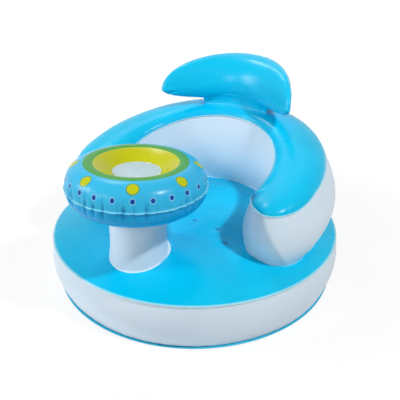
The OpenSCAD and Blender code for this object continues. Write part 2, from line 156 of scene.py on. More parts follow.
def film_surface(tree, colour, roughness):
    """Principled shader of a film, with its slow dents, its grain and a roughness that drifts."""
    place = add(tree, "ShaderNodeTexCoord").outputs["Object"]
    dents = add(tree, "ShaderNodeTexNoise", {"Vector": place, "Scale": 1 / (DENT_MM * MM), "Detail": 1.0})
    grain = add(tree, "ShaderNodeTexNoise", {"Vector": place, "Scale": 1 / (GRAIN_MM * MM), "Detail": 2.0})
    drift = add(tree, "ShaderNodeMapRange", {
        "Value": dents.outputs["Fac"], "From Min": 0.1, "From Max": 0.9,
        "To Min": roughness - GLOSS_DRIFT, "To Max": roughness + GLOSS_DRIFT})
    soft = add(tree, "ShaderNodeBump", {"Height": dents.outputs["Fac"], "Strength": 0.06,
                                        "Distance": DENT_DEEP * MM})
    fine = add(tree, "ShaderNodeBump", {"Height": grain.outputs["Fac"], "Strength": 0.05,
                                        "Distance": GRAIN_DEEP * MM, "Normal": soft.outputs["Normal"]})
    return add(tree, "ShaderNodeBsdfPrincipled", {
        "Base Color": colour, "Roughness": drift.outputs["Result"], "IOR": PVC_IOR,
        "Specular IOR Level": PVC_GLOSS, "Normal": fine.outputs["Normal"]})


def tone(tree, plain, thin):
    """Colour of a dyed film: a little lighter in the places where it is stretched thinner."""
    place = add(tree, "ShaderNodeTexCoord").outputs["Object"]
    cloud = add(tree, "ShaderNodeTexNoise", {"Vector": place, "Scale": 1 / (CLOUD_MM * MM), "Detail": 1.0})
    spread = add(tree, "ShaderNodeMapRange", {"Value": cloud.outputs["Fac"], "From Min": 0.2,
                                              "From Max": 0.8})
    mix = add(tree, "ShaderNodeMix", {MIX_SHARE: spread.outputs["Result"], MIX_UNDER: linear(plain),
                                      MIX_OVER: linear(thin)}, data_type="RGBA")
    return mix.outputs[MIXED]


def weld_tone_and_fold_shade(tree, colour, fold_shade, weld):
    """The film's colour with painted shade darkening its folds and its paler weld bands, read from the mesh.
    """
    # the fold mark paints shade: it darkens the colour where a fold or dent lies in shade
    for mark, ink in (("fold_shade", fold_shade), ("weld", weld)):
        share = add(tree, "ShaderNodeAttribute", attribute_name=mark).outputs["Fac"]
        mix = add(tree, "ShaderNodeMix", {MIX_SHARE: share, MIX_UNDER: colour, MIX_OVER: linear(ink)},
                  data_type="RGBA")
        colour = mix.outputs[MIXED]
    return colour


def calendered_film(tree, plain, thin, weld, fold_shade, roughness):
    """Welded film in one dye: `weld` is the tone of the welded band, and the colour after it is painted
    shade, the darker tone put into a sharp fold.
    """
    return film_surface(tree, weld_tone_and_fold_shade(tree, tone(tree, plain, thin), fold_shade, weld), roughness)


BLUE_FILM, WHITE_FILM, DEEP_BLUE_PARTLY_SHADED_FILM, FLOOR_FILM, SHADED_DISC_FILM = [
    make_material(f"calendered_pvc_film_{dye}", calendered_film, *tones) for dye, *tones in (
        # the fourth colour of each film is painted shade for its folds and dents
        ("sky_blue", "#00C2EF", "#02CBF4", "#A6E8F8", "#0572B4", 0.27),
        ("white", "#D9EAF7", "#DFEFFA", "#F0FFFF", "#9DB6C8", 0.4),
        # deeper tone than the sky blue: partly painted shade of the tray's underside
        ("deep_blue", "#00A2DE", "#04A8E4", "#5ED4F0", "#0879B4", 0.34),
        ("base_bottom", "#12AEDC", "#1AB4E0", "#2CC0E4", "#0B8EB4", 0.36),
        # greyer tones than the white film: painted shade of the deep dish
        ("disc", "#B4CCD8", "#C2D8E2", "#D8EEF4", "#8FAABA", 0.4))]
print("film materials", [m.name for m in bpy.data.materials if m.name.startswith("calendered")])

# %% [markdown]
# ## Sheets from a grid
# Every film is a curved sheet that we can describe with a formula, so we build it as a grid of
# points: rows run away from the weld and columns run along it. The grid becomes one mesh, and a
# Solidify modifier gives it a real thickness, so that an edge or a cut looks like film and not like
# paper of no thickness. Pushing points along the surface's own normal adds folds.

# %% Grid to mesh
FILM_MM = 0.6             # visible thickness of the film


def as_grid(*parts):
    """Rows x columns x 3 array from the three coordinates."""
    return np.stack(np.broadcast_arrays(*parts), -1).astype(float)


def spokes(count):
    """Angles of `count` spokes, all the way round."""
    return np.linspace(0, 2 * pi, count, endpoint=False)[None, :]


def rings(radius, turns, height):
    """Grid of rings and spokes round the Z axis."""
    return as_grid(radius * np.cos(turns), radius * np.sin(turns), height)


def normals(grid, wrap):
    """Unit normals of a grid, column direction crossed with row direction."""
    if wrap:
        wide = np.concatenate([grid[:, -1:], grid, grid[:, :1]], 1)
        along = (wide[:, 2:] - wide[:, :-2]) / 2
    else:
        along = np.gradient(grid, axis=1)
    away = np.gradient(grid, axis=0)
    n = np.cross(along, away)
    return n / np.maximum(np.linalg.norm(n, axis=-1, keepdims=True), 1e-9)


def push(grid, amount, wrap=True, flip=False):
    """Moves a grid's points along its normals by `amount` millimetres."""
    side = -1.0 if flip else 1.0
    return grid + side * normals(grid, wrap) * amount[..., None]


def sheet(name, grid, material, wrap=True, flip=False, marks=None, merge=False, thick=FILM_MM, holes=()):
    """Film object from a grid in millimetres. Marks are extra values per point, by name.
    Holes are (centre, radius) pairs in millimetres: the film is cut away there."""
    rows, columns = grid.shape[:2]
    index = np.arange(rows * columns).reshape(rows, columns)
    right = np.roll(index, -1, 1) if wrap else index[:, 1:]
    left = index if wrap else index[:, :-1]
    quads = np.stack([left[:-1], right[:-1], right[1:], left[1:]], -1).reshape(-1, 4)
    if flip:
        quads = quads[:, ::-1]
    mesh = bpy.data.meshes.new(name)
    mesh.from_pydata((grid.reshape(-1, 3) * MM).tolist(), [], quads.tolist())
    for mark, values in (marks or {}).items():
        flat = np.broadcast_to(values, (rows, columns) + np.shape(values)[2:]).astype(np.float32)
        kind, key = ("FLOAT_VECTOR", "vector") if flat.ndim == 3 else ("FLOAT", "value")
        mesh.attributes.new(mark, kind, "POINT").data.foreach_set(key, flat.ravel())
    work = bmesh.new()
    work.from_mesh(mesh)
    if merge:
        bmesh.ops.remove_doubles(work, verts=work.verts, dist=0.02 * MM)
    for centre, radius in holes:
        middle = Vector(centre) * MM
        cut = [v for v in work.verts if (v.co - middle).length < radius * MM]
        bmesh.ops.delete(work, geom=cut, context="VERTS")
    work.to_mesh(mesh)
    work.free()
    mesh.shade_smooth()
    mesh.materials.append(material)
    piece = bpy.data.objects.new(name, mesh)
    bpy.context.scene.collection.objects.link(piece)
    if thick:
        solid = piece.modifiers.new("film", "SOLIDIFY")
        solid.thickness = thick * MM
        solid.offset = -1.0
    return piece


def finish_piece(piece, body, slot, *nodes):
    """Rides a piece on its body and hides the solids that it stands for. Its slot is not used."""
    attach(piece, body)
    if nodes:
        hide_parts(*nodes)
    print(piece.name, len(piece.data.vertices), "points")
    return piece


# %% [markdown]
# ## Puckers and waves
# Flat film that is welded along a curve has more length at its edge than the curve can take. The
# spare length goes into puckers: short dents that run square to the weld, unevenly spaced, deep
# at the weld and gone after one or two centimetres. Between welds the film has slow waves.
# Both come from seeded random numbers, so they are uneven but the same in every run.

# %% Puckers and waves
def puckers(along, away, length, spacing, width, reach, seed, closed=True):
    """Depth share, 0 to 1, of the puckers at points `along` a weld and `away` from it, in mm."""
    rng = np.random.default_rng(seed)
    number = max(1, round(length / spacing))
    spots = (np.arange(number) + 0.5 + rng.uniform(-0.3, 0.3, number)) * length / number
    widths = width * rng.uniform(0.7, 1.5, number)
    reaches = reach * rng.uniform(0.6, 1.35, number)
    depths = rng.uniform(0.35, 1.0, number)
    total = np.zeros(np.broadcast(along, away).shape)
    for spot, w, r, d in zip(spots, widths, reaches, depths):
        gap = np.abs(along - spot)
        if closed:
            gap = np.minimum(gap, length - gap)
        total = np.maximum(total, d * np.exp(-(gap / w) ** 1.3) * np.exp(-(np.abs(away) / r) ** 1.6))
    return total


def waves(x, y, z, size, seed):
    """Slow uneven waves between -1 and 1, with a usual length of `size` millimetres."""
    rng = np.random.default_rng(seed)
    total = 0.0
    for _ in range(7):
        way = rng.normal(size=3)
        way *= 2 * pi / (size * rng.uniform(0.8, 1.7) * np.linalg.norm(way))
        total = total + np.sin(way[0] * x + way[1] * y + way[2] * z + rng.uniform(0, 2 * pi))
    return total / 4.0


def bell(distance, width):
    """1 in the middle and falling smoothly to 0 with distance."""
    return np.exp(-(distance / width) ** 2)


def calm_round(grid, valve, width):
    """0 at a valve and 1 away from it: the stiff moulded seat lets no fold through."""
    return 1 - bell(np.linalg.norm(grid - np.array(valve), axis=-1), width)


print("puckers on 700 mm of weld", round(700 / 15))

# %% [markdown]
# ## Base
# The base is a round cushion: a blue top sheet, a white band round the side and a blue floor sheet.
# The top sheet is crowned by the air. Strips inside tie it to the floor sheet, and each strip's
# weld pulls a short dent into a shallow hollow; the dent's shade is painted on as a dark mark.
# We write the crown as a power curve, press in the hollows, and let the film swell a little behind
# them, where no strip holds it down.

# %% Base sizes in millimetres
FILM = 1.0                # thickness of a film in the frame
BASE_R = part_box("base_side_wall")[1].x / MM
BASE_H = 93.0
BASE_SWELL = 6.0
BASE_TUCK = 7.0
BOTTOM_LIFT = 4.0
TOP_WELD_R = BASE_R - BASE_SWELL
BOTTOM_WELD_R = TOP_WELD_R - BASE_TUCK
SEAT_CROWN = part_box("base_top_sheet")[1].z / MM - BASE_H - FILM
CROWN_POWER = 3           # a flat middle that falls away faster and faster towards the weld
TIE_SPOTS = [(s * x, y) for x, y in ((30, -46), (83, -51), (119, -84)) for s in (-1, 1)]
TIE_DEEP, TIE_HOLLOW_R = 2.6, 17.0
PINCH_LONG, PINCH_WIDE = 6.0, 2.6
MOUND_UP, MOUND_AT, MOUND_SIZE = 10.0, (8.0, 88.0), (58.0, 34.0)
FLANGE = 2.0              # how far a weld's edge stands out


def seat_z(r):
    """Height of the seat's outer surface at a distance r from the axis."""
    return BASE_H + FILM + SEAT_CROWN * (1 - (np.minimum(r, TOP_WELD_R) / TOP_WELD_R) ** CROWN_POWER)


def seat_dents(x, y):
    """How far the tie strips pull the seat's top sheet down, at a place in plan."""
    hollow = sum(bell(np.hypot(x - a, y - b), TIE_HOLLOW_R) for a, b in TIE_SPOTS)
    pinch = sum(bell(x - a, PINCH_LONG) * bell(y - b, PINCH_WIDE) for a, b in TIE_SPOTS)
    return TIE_DEEP * (hollow + pinch)


def seat_surface(x, y):
    """Height of the seat's film at a place in plan, with the mound in front of the back's foot."""
    mound = bell(x - MOUND_AT[0], MOUND_SIZE[0]) * bell(y - MOUND_AT[1], MOUND_SIZE[1])
    return seat_z(np.hypot(x, y)) - seat_dents(x, y) + MOUND_UP * mound


print("base radius", round(BASE_R, 1), "seat height", round(float(seat_z(0.0)), 1))

# %% [markdown]
# ## Base top sheet
# A sheet with a round edge is easiest as rings and spokes: each point has a radius and a turn, and
# the formula gives its height. The rings are close together near the dents and at the weld. The
# last three rings are the flange, the flat edge of welded film that stands out and droops a little.

# %% Base top sheet
TURNS = spokes(480)
DENTED_R = 160.0          # inside this radius the rings are close enough to draw the strips' dents
WELD_BAND = 1.2           # width of the pale melted band inside the seam
DENT_SHADE_LONG, DENT_SHADE_WIDE = 5.4, 2.6     # half the length and width of the painted shade in a strip's dent
FLANGE_DROOP = 0.25
radii = np.concatenate([
    np.linspace(0.5, DENTED_R, 84, endpoint=False), np.linspace(DENTED_R, TOP_WELD_R, 56),
    TOP_WELD_R + FLANGE * np.array([0.25, 0.6, 1.0])])[:, None]
x, y = radii * np.cos(TURNS), radii * np.sin(TURNS)
away = TOP_WELD_R - radii
folds = puckers(TURNS * TOP_WELD_R, away, 2 * pi * TOP_WELD_R, 24, 4, 13, 11) * (away > 0)
drift = waves(x, y, 0 * x, 120, 3) * np.clip(away / 60, 0, 1)
crown = seat_surface(x, y) - 0.5 * folds + 0.8 * drift - FLANGE_DROOP * np.clip(-away, 0, None)
# painted shade: a dark mark in the dent over each tie strip
tie_dent_shade = sum(np.exp(-((x - a) / DENT_SHADE_LONG) ** 4 - ((y - b) / DENT_SHADE_WIDE) ** 4) for a, b in TIE_SPOTS)
base_top = sheet("base_top_film", as_grid(x, y, crown), BLUE_FILM, marks={
    "weld": np.clip(1.0 - away / WELD_BAND, 0, 1) + 0 * x, "fold_shade": np.clip(tie_dent_shade, 0, 1)})
finish_piece(base_top, "seat", "blue_vinyl", "base_top_sheet")

# %% [markdown]
# ## Base side band and floor sheet
# The white band swells outwards between its two welds, so its radius gets a sine of the height.
# The floor sheet is flat where it lies, and curls up to its weld at the edge: that edge is the thin
# blue line under the band. Round a valve the film is cut out, and it is kept calm there, because
# the stiff moulded seat lets no fold through.

# %% Base side band and floor sheet
VALVE_BASE = (0.0, BASE_R, (BASE_H + BOTTOM_LIFT) / 2)
VALVE_HOLE_R = 9.5        # the cut in the film lies under the rim of the valve's moulded seat
share = np.linspace(0, 1, 40)[:, None]
side_r = BOTTOM_WELD_R + BASE_TUCK * share + (BASE_SWELL + BASE_TUCK / 2) * np.sin(pi * share)
side_z = BOTTOM_LIFT + (BASE_H - BOTTOM_LIFT) * share
calm = 1 - bell(np.hypot(side_r * np.cos(TURNS), side_z - VALVE_BASE[2]), 30) * (np.sin(TURNS) > 0)
creased = puckers(TURNS * BASE_R, 90 * (1 - share), 2 * pi * BASE_R, 30, 4, 14, 21)
creased = creased + puckers(TURNS * BASE_R, 90 * share, 2 * pi * BASE_R, 26, 4, 16, 22)
side_r = side_r - 0.7 * creased + calm * 0.7 * waves(TURNS * BASE_R, 0 * TURNS, side_z * 2, 150, 5)
edge_r = np.array([TOP_WELD_R + 0.5 * FLANGE, TOP_WELD_R + FLANGE])[:, None] + 0 * TURNS
side_r = np.concatenate([side_r, edge_r])
side_z = np.concatenate([side_z, np.full((2, 1), BASE_H)])
side_weld = np.clip((side_z - BASE_H + WELD_BAND) / WELD_BAND, 0, 1) + 0 * TURNS
base_side = sheet("base_side_film", rings(side_r, TURNS, side_z), WHITE_FILM, marks={"weld": side_weld},
                  holes=[(VALVE_BASE, VALVE_HOLE_R)])
finish_piece(base_side, "seat", "white_vinyl", "base_side_wall")

radii = np.array([0.5, 60, 140, 220, BOTTOM_WELD_R - 12, BOTTOM_WELD_R - 5, BOTTOM_WELD_R - 1,
                  BOTTOM_WELD_R + 1.5, BOTTOM_WELD_R + 3.5])[:, None]
lift = np.array([0.3, 0.3, 0.3, 0.3, 0.3, 1.6, 3.1, 3.2, 2.6])[:, None]
base_bottom = sheet("base_bottom_film", rings(radii, TURNS, lift), FLOOR_FILM, flip=True,
                    marks={"weld": (radii > BOTTOM_WELD_R - 0.5) + 0 * TURNS})
finish_piece(base_bottom, "seat", "deep_blue_vinyl", "base_bottom_sheet")

# %% [markdown]
# ## Tie strips inside the base
# Six upright strips of the same film tie the top sheet to the floor sheet, so that the seat swells
# into a cushion and not into a ball. Nobody sees them from outside, but a cut through the base
# would. Each is a small grid between the two sheets, with a slight belly, because film is never flat.

# %% Tie strips inside the base
STRIP_W, STRIP_BELLY = 24.0, 1.5
STRIP_FOOT, STRIP_GAP = 1.0, 1.2    # height of its foot, and how far its head stays under the top film
strip_x = np.linspace(-STRIP_W / 2, STRIP_W / 2, 9)[None, :]
strip_up = np.linspace(0, 1, 12)[:, None]
for index, (spot_x, spot_y) in enumerate(TIE_SPOTS):
    roof = seat_surface(spot_x + strip_x, spot_y + 0 * strip_x) - STRIP_GAP
    strip_z = STRIP_FOOT + (roof - STRIP_FOOT) * strip_up
    belly = STRIP_BELLY * np.sin(pi * strip_up) * np.cos(pi * strip_x / STRIP_W)
    strip = sheet(f"tie_strip_film_{index + 1}", as_grid(spot_x + strip_x, spot_y + belly, strip_z),
                  WHITE_FILM, wrap=False)
    finish_piece(strip, "seat", "white_vinyl", "base_tie_strips")

# %% [markdown]
# ## Back and arms
# Back and arms are one horseshoe tube. A white band stands on the seat all the way round, outside,
# inside and round the front of both arms, and a blue crescent closes it on top. Both follow one
# outline: the spine is an arc with two short straight legs, and each arm ends in a long rounded
# outer half and a tight inner corner. For each station of the outline we keep its place on the
# spine, the way from there to the top weld and to the foot, the way outwards, and the swell.

# %% Outline of the horseshoe
WELL_R, ARM_W = 156.0, 94.0
ARM_REACH, ARM_ROUND, ARM_LEAN = 102.0, 85.0, 10.0
TOP_CORNER, FOOT_CORNER = 45.0, 25.0
TOP_POWER, FOOT_POWER = 1.3, 0.8    # a circle has 1: the top corner is sharper and the foot fuller
ARM_H, BACK_H = 207.0, 272.0        # height of the top weld at the arms and at the rear
TOP_CROWN = 21.0
OUTER_SWELL, INNER_SWELL, FRONT_SWELL = 30.0, 18.0, 12.0
LEVEL_REACH, LEVEL_BLEND = 55.0, 40.0
SPINE_R = WELL_R + ARM_W / 2
OUTER_R = WELL_R + ARM_W
LEG = ARM_REACH - ARM_ROUND


def level_rise(y):
    """How far the weld climbs from the arms to a place at y, before its slope is applied."""
    return (y + LEVEL_REACH + np.hypot(y + LEVEL_REACH, LEVEL_BLEND)) / 2


def weld_height(y):
    return ARM_H + (BACK_H - ARM_H) / level_rise(SPINE_R) * level_rise(y)


def spine_walk(leg_steps, arc_steps):
    """Points of the spine and the unit vectors that point outwards there, right arm first."""
    down = np.linspace(1, 0, leg_steps, endpoint=False)
    turn = np.linspace(0, pi, arc_steps)
    leg = np.tile([1.0, 0], (leg_steps, 1))
    out = np.vstack([leg, np.column_stack([np.cos(turn), np.sin(turn)]), -leg])
    drop = np.concatenate([down, np.zeros(arc_steps), down[::-1]])
    return SPINE_R * out - LEG * drop[:, None] * [0, 1], out


def cap_walk(centre, out, steps=56, straight=10):
    """Front of one arm from its outer to its inner side: the last stations lie on the straight side."""
    turn = pi * np.linspace(0, 1, steps + 1)[1:]
    side, front = np.cos(turn), np.sin(turn).clip(0)

    def weld(depth, corner, power):
        power = np.where(side > 0, 1.0, power)
        ahead = np.where(side > 0, depth * front, depth - corner * (1 - front ** power))
        across = np.sign(side) * np.abs(side) ** power
        back = (depth - corner) * np.linspace(1, 0, straight + 1)[1:-1]
        return (np.concatenate([across, -rest])[:, None] * out * ARM_W / 2
                - np.concatenate([ahead, back])[:, None] * [0, 1])

    rest = np.ones(straight - 1)
    top = weld(ARM_ROUND, TOP_CORNER, TOP_POWER)
    foot = weld(ARM_ROUND - ARM_LEAN, FOOT_CORNER, FOOT_POWER)
    ahead = np.concatenate([front, 0 * rest])[:, None] * [0, 1]
    outwards = np.concatenate([side, -rest])[:, None] * out - ahead
    swell = FRONT_SWELL + (np.where(side > 0, OUTER_SWELL, INNER_SWELL) - FRONT_SWELL) * side ** 4
    return (np.tile(centre, (len(top), 1)), top, foot, outwards,
            np.concatenate([swell, INNER_SWELL * rest]), -top[:, 1])


def long_side(centre, out, swell):
    """One long side of the horseshoe, where the top weld stands right above the foot."""
    return centre, out * ARM_W / 2, out * ARM_W / 2, out, np.full(len(out), swell), np.zeros(len(out))


spine, spine_out = spine_walk(5, 150)
left_cap = cap_walk(spine[-1], spine_out[-1])
right_cap = [part[::-1] for part in cap_walk(spine[0], spine_out[0])]
centre, to_top, to_foot, outwards, swell, forward = [np.concatenate(parts) for parts in zip(
    long_side(spine, spine_out, OUTER_SWELL), left_cap,
    long_side(spine[::-1], -spine_out[::-1], INNER_SWELL), right_cap)]
weld_z = weld_height(centre[:, 1] - forward)
print("stations along the outline", len(centre), "height", round(weld_z.min()), "to", round(weld_z.max()))


def plan(off, share=1.0, vector=to_top):
    """Plan points of all stations, `off` outside the weld line, outline shrunk to a share."""
    off, share = np.broadcast_arrays(off, share)
    return (centre[:, 0] + vector[:, 0] * share + outwards[:, 0] * off,
            centre[:, 1] + vector[:, 1] * share + outwards[:, 1] * off)


line_x, line_y = plan(0.0)
steps = np.hypot(np.diff(line_x, append=line_x[0]), np.diff(line_y, append=line_y[0]))
along = np.concatenate([[0], np.cumsum(steps)[:-1]])
ROUND = steps.sum()
print("weld round the horseshoe", round(ROUND), "mm")

# %% [markdown]
# ## White wall of the back
# The wall leans out a little between its two welds, so a row at a share of the height moves out by
# a sine of that share. At its foot a flange lies on the seat: it is the pale line in the photo.
# On the front of each arm the air pushes one long fold outwards. It runs from under the top weld
# slantwise down to the outer side, and it parts the lit half of the front from the half in shade.

# %% Back wall
def inner_corner(side):
    """Distance along the weld of an arm's inner front corner: side 1 is the right arm."""
    on_arm = (centre[:, 0] * side > 0) & (outwards[:, 0] * side < 0) & (forward > 0)
    tight = on_arm & (forward > ARM_ROUND - TOP_CORNER + 2) & (np.abs(outwards[:, 1]) < 0.6)
    return along[tight].mean()


FOOT_FLANGE = 4.0
RIDGE_UP, RIDGE_WIDE = 6.5, 18.0      # height of the fold on an arm's front, and its width
RIDGE_RUN, RIDGE_START = 42.0, 3.0    # how far it runs sideways on its way down, and from where
VALVE_BACK = (0.0, 280.0, 188.08)
TALLEST = BACK_H - seat_z(OUTER_R)
foot_x, foot_y = plan(0.0, 1.0, to_foot)
low = seat_z(np.hypot(foot_x, foot_y)) + 0.3
share = np.linspace(0, 1, 46)[:, None]
bulge = swell * (weld_z - low) / TALLEST * np.sin(pi * share)
wall_x, wall_y = (share * t + (1 - share) * f
                  for t, f in zip(plan(bulge), plan(bulge, 1.0, to_foot)))
wall_z = low + (weld_z - low) * share
flange_x, flange_y = plan(np.array([FOOT_FLANGE, FOOT_FLANGE / 2])[:, None], 1.0, to_foot)
flange_z = seat_z(np.hypot(flange_x, flange_y)) + np.array([0.4, 0.9])[:, None]
rim_x, rim_y = plan(np.array([FLANGE / 2, FLANGE])[:, None])
rim_z = weld_z + np.array([0.0, 0.1])[:, None]
wall = as_grid(np.vstack([flange_x, wall_x, rim_x]), np.vstack([flange_y, wall_y, rim_y]),
               np.vstack([flange_z, wall_z, rim_z]))
tall = weld_z - low
mid_share = np.concatenate([[0, 0], share[:, 0], [1, 1]])[:, None]
foot_folds = puckers(along, mid_share * tall, ROUND, 30, 4, 16, 31)
rim_folds = puckers(along, (1 - mid_share) * tall, ROUND, 26, 3.5, 12, 32)
ends = np.clip(np.sin(pi * mid_share) * 3, 0, 1)
sag = calm_round(wall, VALVE_BACK, 32) * ends * waves(wall[..., 0], wall[..., 1], wall[..., 2], 110, 33)
for side in (-1, 1):
    on_end = (centre[:, 0] * side > 0) & (forward > 0)
    front = along[on_end & (np.abs(outwards[:, 0]) < 0.08)].mean()
    line = front + np.sign(front - inner_corner(side)) * (RIDGE_RUN * (1 - mid_share) - RIDGE_START)
    fade = np.sin(pi * np.clip(mid_share, 0, 1)) ** 0.7
    sag = sag + RIDGE_UP * np.exp(-np.abs(along - line) / RIDGE_WIDE) * fade * on_end
wall = push(wall, -0.8 * foot_folds * (mid_share > 0) - 0.6 * rim_folds * (mid_share < 1) + sag)
weld_mark = np.zeros(wall.shape[:2])
weld_mark[[0, 1, -2, -1]] = 1.0
weld_mark[[2, -3]] = 0.6
back_wall = sheet("back_wall_film", wall, WHITE_FILM, marks={"weld": weld_mark},
                  holes=[(VALVE_BACK, VALVE_HOLE_R)])
finish_piece(back_wall, "seat", "white_vinyl", "back_wall_band")

# %% [markdown]
# ## Blue top of the back
# The crescent is a half tube: its height follows a half ellipse from weld to weld. We shrink the
# outline in steps until it closes on the spine. One sharp fold starts at the inner corner of each
# arm's front end, where the weld turns tightest, and the shade on its steep side is painted there
# as a darker patch.

# %% Back top sheet
width_share = np.concatenate([np.cos(np.linspace(0, pi / 2, 44)[:-1]), [0.0]])[:, None]
top_x, top_y = plan(0.0, width_share)
top_z = weld_height(centre[:, 1] - forward * width_share) + FILM + TOP_CROWN * np.sqrt(1 - width_share ** 2)
lip_x, lip_y = plan(np.array([FLANGE, FLANGE / 2])[:, None])
lip_z = weld_z + np.array([0.75, 0.8])[:, None]
top = as_grid(np.vstack([lip_x, top_x]), np.vstack([lip_y, top_y]), np.vstack([lip_z, top_z]))
depth_in = np.concatenate([[0, 0], ARM_W / 2 * (1 - width_share[:, 0])])[:, None]
folds = 0.7 * puckers(along, depth_in, ROUND, 28, 4, 13, 41)
for side in (-1, 1):
    reach = np.abs(along - inner_corner(side))
    folds = folds + 2.6 * bell(reach, 4.0) * bell(depth_in - 8, 8.0)
# painted shade: a darker patch at each arm's inner front corner, where the fold's steep side is in shade
corner_shade = np.clip(sum(bell(along - inner_corner(s), 8.0) for s in (-1, 1)) * bell(depth_in - 3, 5.0), 0, 1)
drift = 0.9 * waves(top[..., 0], top[..., 1], top[..., 2], 130, 43) * np.clip(depth_in / 14, 0, 1)
top[2:] = top[2:] + normals(top[2:-1], True)[np.r_[0:len(top) - 3, -1]] * (drift - folds)[2:, :, None]
top[-1] = as_grid(centre[:, 0], centre[:, 1], weld_height(centre[:, 1]) + FILM + TOP_CROWN)
rim_mark = np.zeros(top.shape[:2])
rim_mark[:2], rim_mark[2] = 1.0, 0.8
back_top = sheet("back_top_film", top, BLUE_FILM, merge=True,
                 marks={"weld": rim_mark, "fold_shade": corner_shade * 0.8})
finish_piece(back_top, "seat", "blue_vinyl", "back_top_sheet")

# %% [markdown]
# ## Headrest
# The headrest is a crescent pillow of two equal sheets, welded all round. It curls forward at both
# ends. Each sheet is drawn as rings that shrink from the weld to the middle, and the air lifts
# every ring by a half ellipse. The tips are the tightest bends, so the deepest folds sit there.

# %% Headrest sheets
HEAD_HALF_W, HEAD_H, HEAD_T = 147.0, 95.0, 74.0    # half its width, its height and its thickness
HEAD_CURL, HEAD_RISE, TIP_ROUND = 96.0, 26.0, 22.0    # how far the tips reach forwards and upwards
HEAD_Y, HEAD_LEAN, HEAD_LIFT = 193.0, 15.0, 6.0
HEAD_FLANGE = 2.2
VALVE_HEAD = (0.0, 242.73, 347.0)
back_crest_z = weld_height(SPINE_R) + FILM
back_crest_z += TOP_CROWN * sqrt(1 - ((SPINE_R - HEAD_Y) / (ARM_W / 2 - FILM)) ** 2)
HEAD_Z = back_crest_z + HEAD_LIFT
HEAD_TURNS = 2 * pi * (np.arange(300) + 0.5) / 300


def head_low(u):
    """Height of the pillow's lower edge, at a share u of its half width."""
    return (HEAD_RISE - TIP_ROUND) * u ** 2 + TIP_ROUND * (1 - np.sqrt(1 - np.abs(u) ** 5))


def head_high(u):
    """Height of its upper edge."""
    return HEAD_RISE * u ** 2 + HEAD_H * np.sqrt(1 - np.abs(u) ** 2.05)


def head_grid(shares, offset):
    """Rings of the pillow at shares of its outline, moved to the rear by `offset`."""
    u = np.cos(HEAD_TURNS)
    edge = np.where(np.sin(HEAD_TURNS) > 0, head_high(u), head_low(u))
    qx = shares * u
    qy = HEAD_H / 2 + shares * (edge - HEAD_H / 2)
    return as_grid(HEAD_HALF_W * qx, HEAD_Y - HEAD_CURL * qx ** 2 + tan(radians(HEAD_LEAN)) * qy + offset,
                   HEAD_Z + qy)


rim = head_grid(np.ones((1, 1)), 0.0)[0]
rim_steps = np.linalg.norm(np.roll(rim, -1, 0) - rim, axis=1)
rim_along = np.concatenate([[0], np.cumsum(rim_steps)[:-1]])
RIM = rim_steps.sum()
print("headrest root", round(HEAD_Z, 1), "weld", round(RIM), "mm")


def head_sheet(name, side, seed):
    """One sheet of the pillow: side -1 is the front and 1 is the rear."""
    shares = np.concatenate([[1 + HEAD_FLANGE / HEAD_HALF_W], np.cos(np.linspace(0, pi / 2, 46))])[:, None]
    lift = side * (0.2 + (HEAD_T / 2) * np.sqrt(np.maximum(0, 1 - shares ** 2)))
    grid = head_grid(shares, lift)
    away = np.maximum(0, 1 - shares) * 60
    folds = 0.35 * puckers(rim_along, away, RIM, 24, 4, 8, seed)
    u, low_side = np.cos(HEAD_TURNS), np.sin(HEAD_TURNS) < 0
    for middle, reach, depth in ((0.955, 7.0, 5.0), (0.90, 5.0, 2.0)):     # two folds at each tip
        bend = np.exp(-(np.abs(np.abs(u) - middle) / 0.010) ** 1.3) * low_side
        folds = folds + depth * bend * bell(away, reach)
    for middle in (0.925, 0.985):                                          # and the film plump beside them
        folds = folds - 1.6 * bell(np.abs(u) - middle, 0.018) * low_side * bell(away - 4, 5)
    drift = 0.5 * waves(grid[..., 0], grid[..., 1], grid[..., 2], 120, seed + 1) * np.clip(away / 18, 0, 1)
    if side > 0:
        drift = drift * calm_round(grid, VALVE_HEAD, 32)
    grid = push(grid[:-1], (drift - folds)[:-1] * (shares[:-1] < 1), flip=side > 0)
    # the second mark paints shade: the film is coloured darker in the deepest folds
    marks = {"weld": np.where(shares[:-1] > 0.999, 0.35, 0.0) + 0 * folds[:-1],
             "fold_shade": np.clip((folds[:-1] - 1.6) / 5, 0, 0.7)}
    grid = np.concatenate([grid, grid[-1:].mean(1, keepdims=True) + 0 * grid[-1:]])
    marks = {key: np.concatenate([value, value[-1:]]) for key, value in marks.items()}
    holes = [(VALVE_HEAD, VALVE_HOLE_R)] if side > 0 else []
    return sheet(name, grid, BLUE_FILM, flip=side > 0, marks=marks, merge=True, holes=holes)


for way, side, seed in (("front", -1, 51), ("rear", 1, 61)):
    pillow = head_sheet(f"headrest_{way}_film", side, seed)
    finish_piece(pillow, "headrest", "blue_vinyl", f"headrest_{way}_sheet")

# %% [markdown]
# ## Neck of the headrest
# The pillow isn't a separate thing that stands on the back: its film runs on into the back's top
# sheet through a short soft neck. From above, the neck is a lens: a front and a rear sheet that meet
# at both ends. Each column of a sheet is a curve with three handles, a Bezier curve, which leaves
# the back along its film and arrives on the pillow along the pillow's film, so no corner shows.

# %% Headrest neck
NECK_HALF, NECK_SHIFT = 80.0, -3.0
NECK_CLIMB = 16.0         # how high the sheets reach on the pillow in its middle
NECK_REACH = 7.0          # how far their foot lies in front of their upper edge
NECK_WAIST = 0.06         # how far the ends draw in at half height, as a share
NECK_SINK = 1.2           # how far the closed ends reach into the pillow and the back, without a gap
NECK_CLEAR = 0.3          # how far the sheets' edges lie over the films that they run into


def back_top_z(px, py):
    """Height of the back's top sheet over a place in plan."""
    r = np.hypot(px, py)
    across_share = np.minimum(1, np.abs(r - SPINE_R) / (ARM_W / 2 - FILM))
    return weld_height(SPINE_R * py / r) + FILM + TOP_CROWN * np.sqrt(1 - across_share ** 2)


